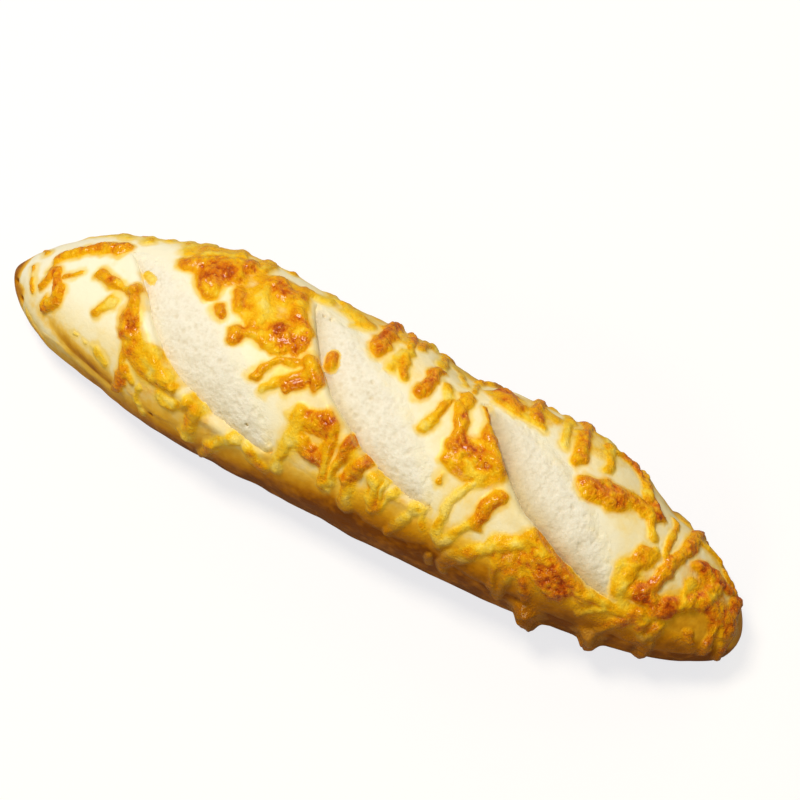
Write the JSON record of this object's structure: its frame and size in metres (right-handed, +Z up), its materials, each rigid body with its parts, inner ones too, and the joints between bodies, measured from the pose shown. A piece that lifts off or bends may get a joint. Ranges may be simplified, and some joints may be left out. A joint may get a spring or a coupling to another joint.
{
  "type": "provolone bread",
  "caption": "Short baton loaf with diagonal slashes on top and browned shreds of melted cheese baked onto its crust; rests on its flat underside.",
  "frame": {"origin": "centre of the loaf's footprint, on its flat underside", "axes": "+X along the loaf's length, +Z up through the crown, -Y to the side on which the slashes come lowest"},
  "size_m": [0.28, 0.0722, 0.0519],
  "materials": {
    "crust": null,
    "crumb": null,
    "cheese": null
  },
  "bodies": {
    "root": {"loaf": "crust"}
  },
  "joints": []
}
